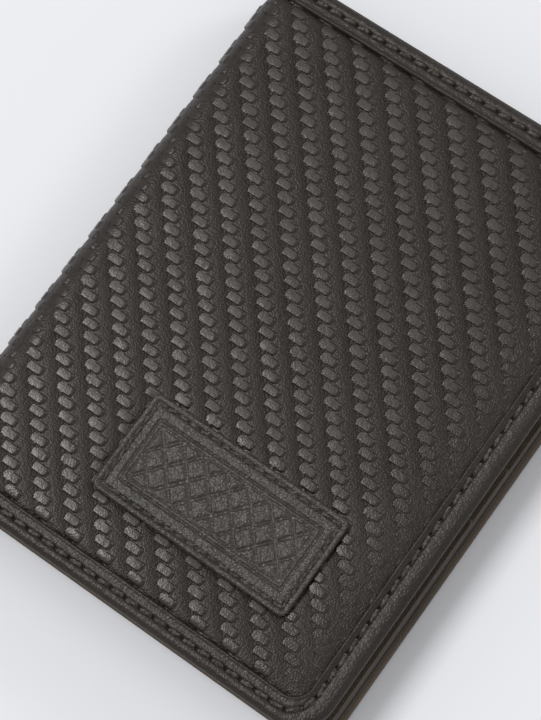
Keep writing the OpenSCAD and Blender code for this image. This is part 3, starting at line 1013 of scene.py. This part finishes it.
def fold_layer(kind, name, r_out, r_in, material, slot, wave, seed, inset=0.0):
    """The four strips of an inner layer that goes round the fold."""
    low, high = node_box(f"spine_{kind}_2")
    half_low, half_high = low[1] + inset, high[1] - inset
    made = []
    for k in STRIPS:
        start = 270 - STRIP_TURN * k
        angles = np.radians(np.linspace(start, start - STRIP_TURN, 13))
        ys = np.array([half_low, half_low + 0.1, *np.linspace(half_low + 0.5, half_high - 0.5, 90),
                       half_high - 0.1, half_high])
        a, y = np.meshgrid(angles, ys, indexing="ij")
        to_rim = np.minimum(y - half_low, half_high - y)
        t = (r_out - r_in) / 2
        round_off = t * np.sqrt(np.clip(1 - (1 - np.clip(to_rim / t, 0, 1)) ** 2, 0.0, 1))
        ripple = wave * unevenness(a * FOLD_R, y, 4.5, seed)
        mid = (r_out + r_in) / 2 + ripple

        def shell(radius):
            return spots(FOLD_X + radius * np.cos(a), y, FOLD_R + radius * np.sin(a))

        piece = closed_slab(f"{name}_{k + 1}", shell(mid + round_off), shell(mid - round_off),
                            material)
        bend_round_fold(piece, k, (r_out + r_in) / 2, slot, *spine_nodes(kind, k))
        made.append(piece)
    return made


# Outer and inner radius of each layer round the fold.
FOAM_RADII, LINING_RADII, DIVIDER_RADII = (6.50, 5.98), (5.88, 5.62), (5.1, 4.62)


def make_inside():
    foam, cloth, inner = LOOKS["foam"], LOOKS["lining"], LOOKS["inner"]
    for cover, facing in (("back", 1), ("front", -1)):
        piece = flat_layer(f"{cover}_foam", f"{cover}_padding", f"{cover}_cover", "foam", foam,
                           -facing, 41, swell=0.75, radii=[0.5, 5, 5, 0.5], inset=(4.0, 2.5))[0]
    for strip in fold_layer("padding", "fold_foam", *FOAM_RADII, foam, "foam", 0.0, 42, 3.0):
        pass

    for kind, slot, material, reach in (("lining", "lining_cloth", cloth, LINING_RADII),
                                        ("divider", "inner_leather", inner, DIVIDER_RADII)):
        strips = fold_layer(kind, f"fold_{kind}", *reach, material, slot, 0.03, 50)
        for cover, facing, mine in (("back", 1, strips[:2]), ("front", -1, strips[2:])):
            radii = [0.5, CORNER_R - 1, CORNER_R - 1, 0.5] if kind == "lining" else None
            piece, low, high = flat_layer(
                f"{cover}_{kind}_sheet", f"{cover}_{kind}", f"{cover}_cover", slot, material,
                facing, 52, crease=0.0 if kind == "lining" else 0.08, radii=radii)
            plan(low, high)

    rows = [(cover, "panel") for cover in ("back", "front")]
    rows += [("back", f"card_pocket_{k}") for k in (1, 2, 3, 4)]
    rows += [("front", f"card_pocket_{k}") for k in (1, 2)]
    for n, (cover, kind) in enumerate(rows):
        facing = 1 if cover == "back" else -1
        piece, low, high = flat_layer(
            f"{cover}_{kind}_leather", f"{cover}_{kind}", f"{cover}_cover", "inner_leather", inner,
            facing, 60 + 3 * n, crease=0.20)
        plan(low, high)
    make_window()
    for cover in ("back", "front"):
        dress_node(f"{cover}_board", "board")


def dress_node(node, material):
    """A CAD node that stays as it is, with its own finish."""
    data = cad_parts[node].data
    data.materials.clear()
    data.materials.append(LOOKS[material])


WINDOW_W, WINDOW_H, WINDOW_R = 74.0, 44.0, 3.0
# The frame's section: share of the way from its outline to the opening, and share of its thickness.
WINDOW_SECTION = [(0.0, 0.0), (0.02, 0.30), (0.06, 0.5), (0.35, 0.46), (0.68, 0.46), (0.80, 0.34),
                  (0.86, 0.5), (0.94, 0.5), (0.985, 0.30), (1.0, 0.0), (0.98, -0.3), (0.94, -0.46),
                  (0.06, -0.46), (0.02, -0.3)]
LEAST_AREA_SHARE = 0.301


def outline_points(low, high, radii, per_side, per_corner):
    """Points round a rectangle with rounded corners, counter-clockwise from its lower left."""
    corners = ((low[0], low[1], 180), (high[0], low[1], 270), (high[0], high[1], 0),
               (low[0], high[1], 90))
    arcs = []
    for (x, y, start), radius in zip(corners, radii):
        cx = x + radius if x == low[0] else x - radius
        cy = y + radius if y == low[1] else y - radius
        turns = np.radians(np.linspace(start, start + 90, per_corner))
        arcs.append(spots(cx + radius * np.cos(turns), cy + radius * np.sin(turns)))
    points = []
    for arc, following in zip(arcs, arcs[1:] + arcs[:1]):
        points += [arc, np.linspace(arc[-1], following[0], per_side + 2)[1:-1]]
    return np.concatenate(points)


def make_window():
    """The identity window: a soft leather frame with rolled edges, and a clear film behind it."""
    low, high = node_box("front_window_frame")
    film_low, film_high = node_box("front_window")
    centre = (film_low + film_high) / 2
    half = np.array([WINDOW_W / 2, WINDOW_H / 2])
    outer = outline_points(low, high, LAYER_CORNERS, 40, 12)
    inner = outline_points(centre[:2] - half, centre[:2] + half, [WINDOW_R] * 4, 40, 12)
    t = high[2] - low[2]
    rings = []
    for share, height in WINDOW_SECTION:
        spot = outer + (inner - outer) * share
        z = (low[2] + high[2]) / 2 - height * t
        rings.append(np.column_stack([spot, np.full(len(spot), z)]))
    rings = np.array(rings).transpose(1, 0, 2)
    faces = tube_faces(rings.shape[0], rings.shape[1], closed=True)
    piece = piece_from("front_window_frame_leather", rings.reshape(-1, 3), faces,
                       LOOKS["inner"])
    describe(piece, "front_cover", "inner_leather", "front_window_frame")
    flat = (high - low)[:2]
    area = flat[0] * flat[1] - WINDOW_W * WINDOW_H
    plan(low, high)
    max(area, LEAST_AREA_SHARE * flat[0] * flat[1]) * MM * MM
    dress_node("front_window", "film")


POCKET_SEAM_IN, POCKET_TURN = 0.3, 3.5


def make_pocket_thread():
    """The seam round the lowest pocket of each cover, on its inner side."""
    for cover, facing, edge in (("back", 1, BACK_EDGE), ("front", -1, FRONT_EDGE)):
        node = f"{cover}_pocket_stitches"
        low, high = node_box(node)
        z = low[2] + 0.05 if facing > 0 else high[2] - 0.05
        start, end = low[0] + POCKET_SEAM_IN, high[0] - POCKET_SEAM_IN
        base, top = low[1] + POCKET_SEAM_IN, high[1]
        turns = np.linspace(0, math.pi / 2, 9)
        rise = base + POCKET_TURN - POCKET_TURN * np.cos(turns)
        right = spots(end - POCKET_TURN + POCKET_TURN * np.sin(turns), rise)
        left = spots(start + POCKET_TURN - POCKET_TURN * np.sin(turns), rise)
        line = np.concatenate([[[start, top]], left[::-1], right, [[end, top]]])
        s = seam_length(line)
        pitch = s[-1] / round(s[-1] / STITCH)
        stitches = [([*first, z], [*last, z], 0.12, (0, 0, facing))
                    for first, last in hole_pairs(line, s, pitch)]
        piece = thread_piece(f"{cover}_pocket_thread", stitches, 0.2, 1300)
        describe(piece, f"{cover}_cover", "thread", node)


# ------ studio
FLOOR_HALF, FLOOR_Z = 3000.0, -0.1
WARM = (1.0, 0.975, 0.95)
ROOM_STRENGTH = 0.53
# Name, place, width, height and power of each lamp, in metres and watts.
LAMPS = (("overhead", (-1.00, 0.98, 2.90), 1.4, 1.5, 5.6),
         ("bright_box", (-1.46, -0.38, 2.90), 1.05, 1.05, 51.0),
         ("far_side", (1.5, 2.3, 1.25), 0.8, 0.5, 16.0))


def make_studio():
    corners = [(a * FLOOR_HALF, b * FLOOR_HALF, FLOOR_Z)
               for a, b in ((-1, -1), (1, -1), (1, 1), (-1, 1))]
    piece_from("floor", corners, [(0, 1, 2, 3)], LOOKS["floor"], None, 1)

    for name, place, width, height, power in LAMPS:
        data = bpy.data.lights.new(name, "AREA")
        data.shape = "RECTANGLE"
        data.size, data.size_y = width, height
        data.energy = power
        data.color = WARM
        lamp = in_scene(name, data)
        lamp.location = place
        lamp.rotation_euler = (-Vector(place)).to_track_quat("-Z", "Y").to_euler()

    world = bpy.data.worlds.new("pale room")
    world.use_nodes = True
    background = world.node_tree.nodes["Background"]
    background.inputs["Color"].default_value = (*WARM, 1)
    background.inputs["Strength"].default_value = ROOM_STRENGTH
    scene.world = world
    scene.view_settings.view_transform = "Standard"


AZIMUTH, ELEVATION, ROLL_ANGLE = 1.0358, 1.2648, -0.4276
AIM, DISTANCE = (-1.37, -6.42, THICK), 485.2
FOCAL_LENGTH, SENSOR_WIDTH = 125.4, 36
NEAREST, FARTHEST = 0.01, 20


def make_camera():
    flat = math.cos(ELEVATION)
    away = Vector((math.sin(AZIMUTH) * flat, -math.cos(AZIMUTH) * flat, math.sin(ELEVATION)))
    right = Vector((math.cos(AZIMUTH), math.sin(AZIMUTH), 0))
    up = away.cross(right)
    across = right * math.cos(ROLL_ANGLE) + up * math.sin(ROLL_ANGLE)
    over = up * math.cos(ROLL_ANGLE) - right * math.sin(ROLL_ANGLE)
    data = bpy.data.cameras.new("camera")
    data.sensor_width = SENSOR_WIDTH
    data.lens = FOCAL_LENGTH
    data.clip_start, data.clip_end = NEAREST, FARTHEST
    camera = in_scene("camera", data)
    turn = Matrix((across, over, away)).transposed().to_4x4()
    place = Vector(AIM) * MM + away * (DISTANCE * MM)
    camera.matrix_world = Matrix.Translation(place) @ turn
    scene.camera = camera


make_camera()
make_studio()
make_embossed_leather()
for cover in COVERS:
    make_border(*cover)
make_fold_border()
make_border_thread()
make_patch()
make_inside()
make_pocket_thread()
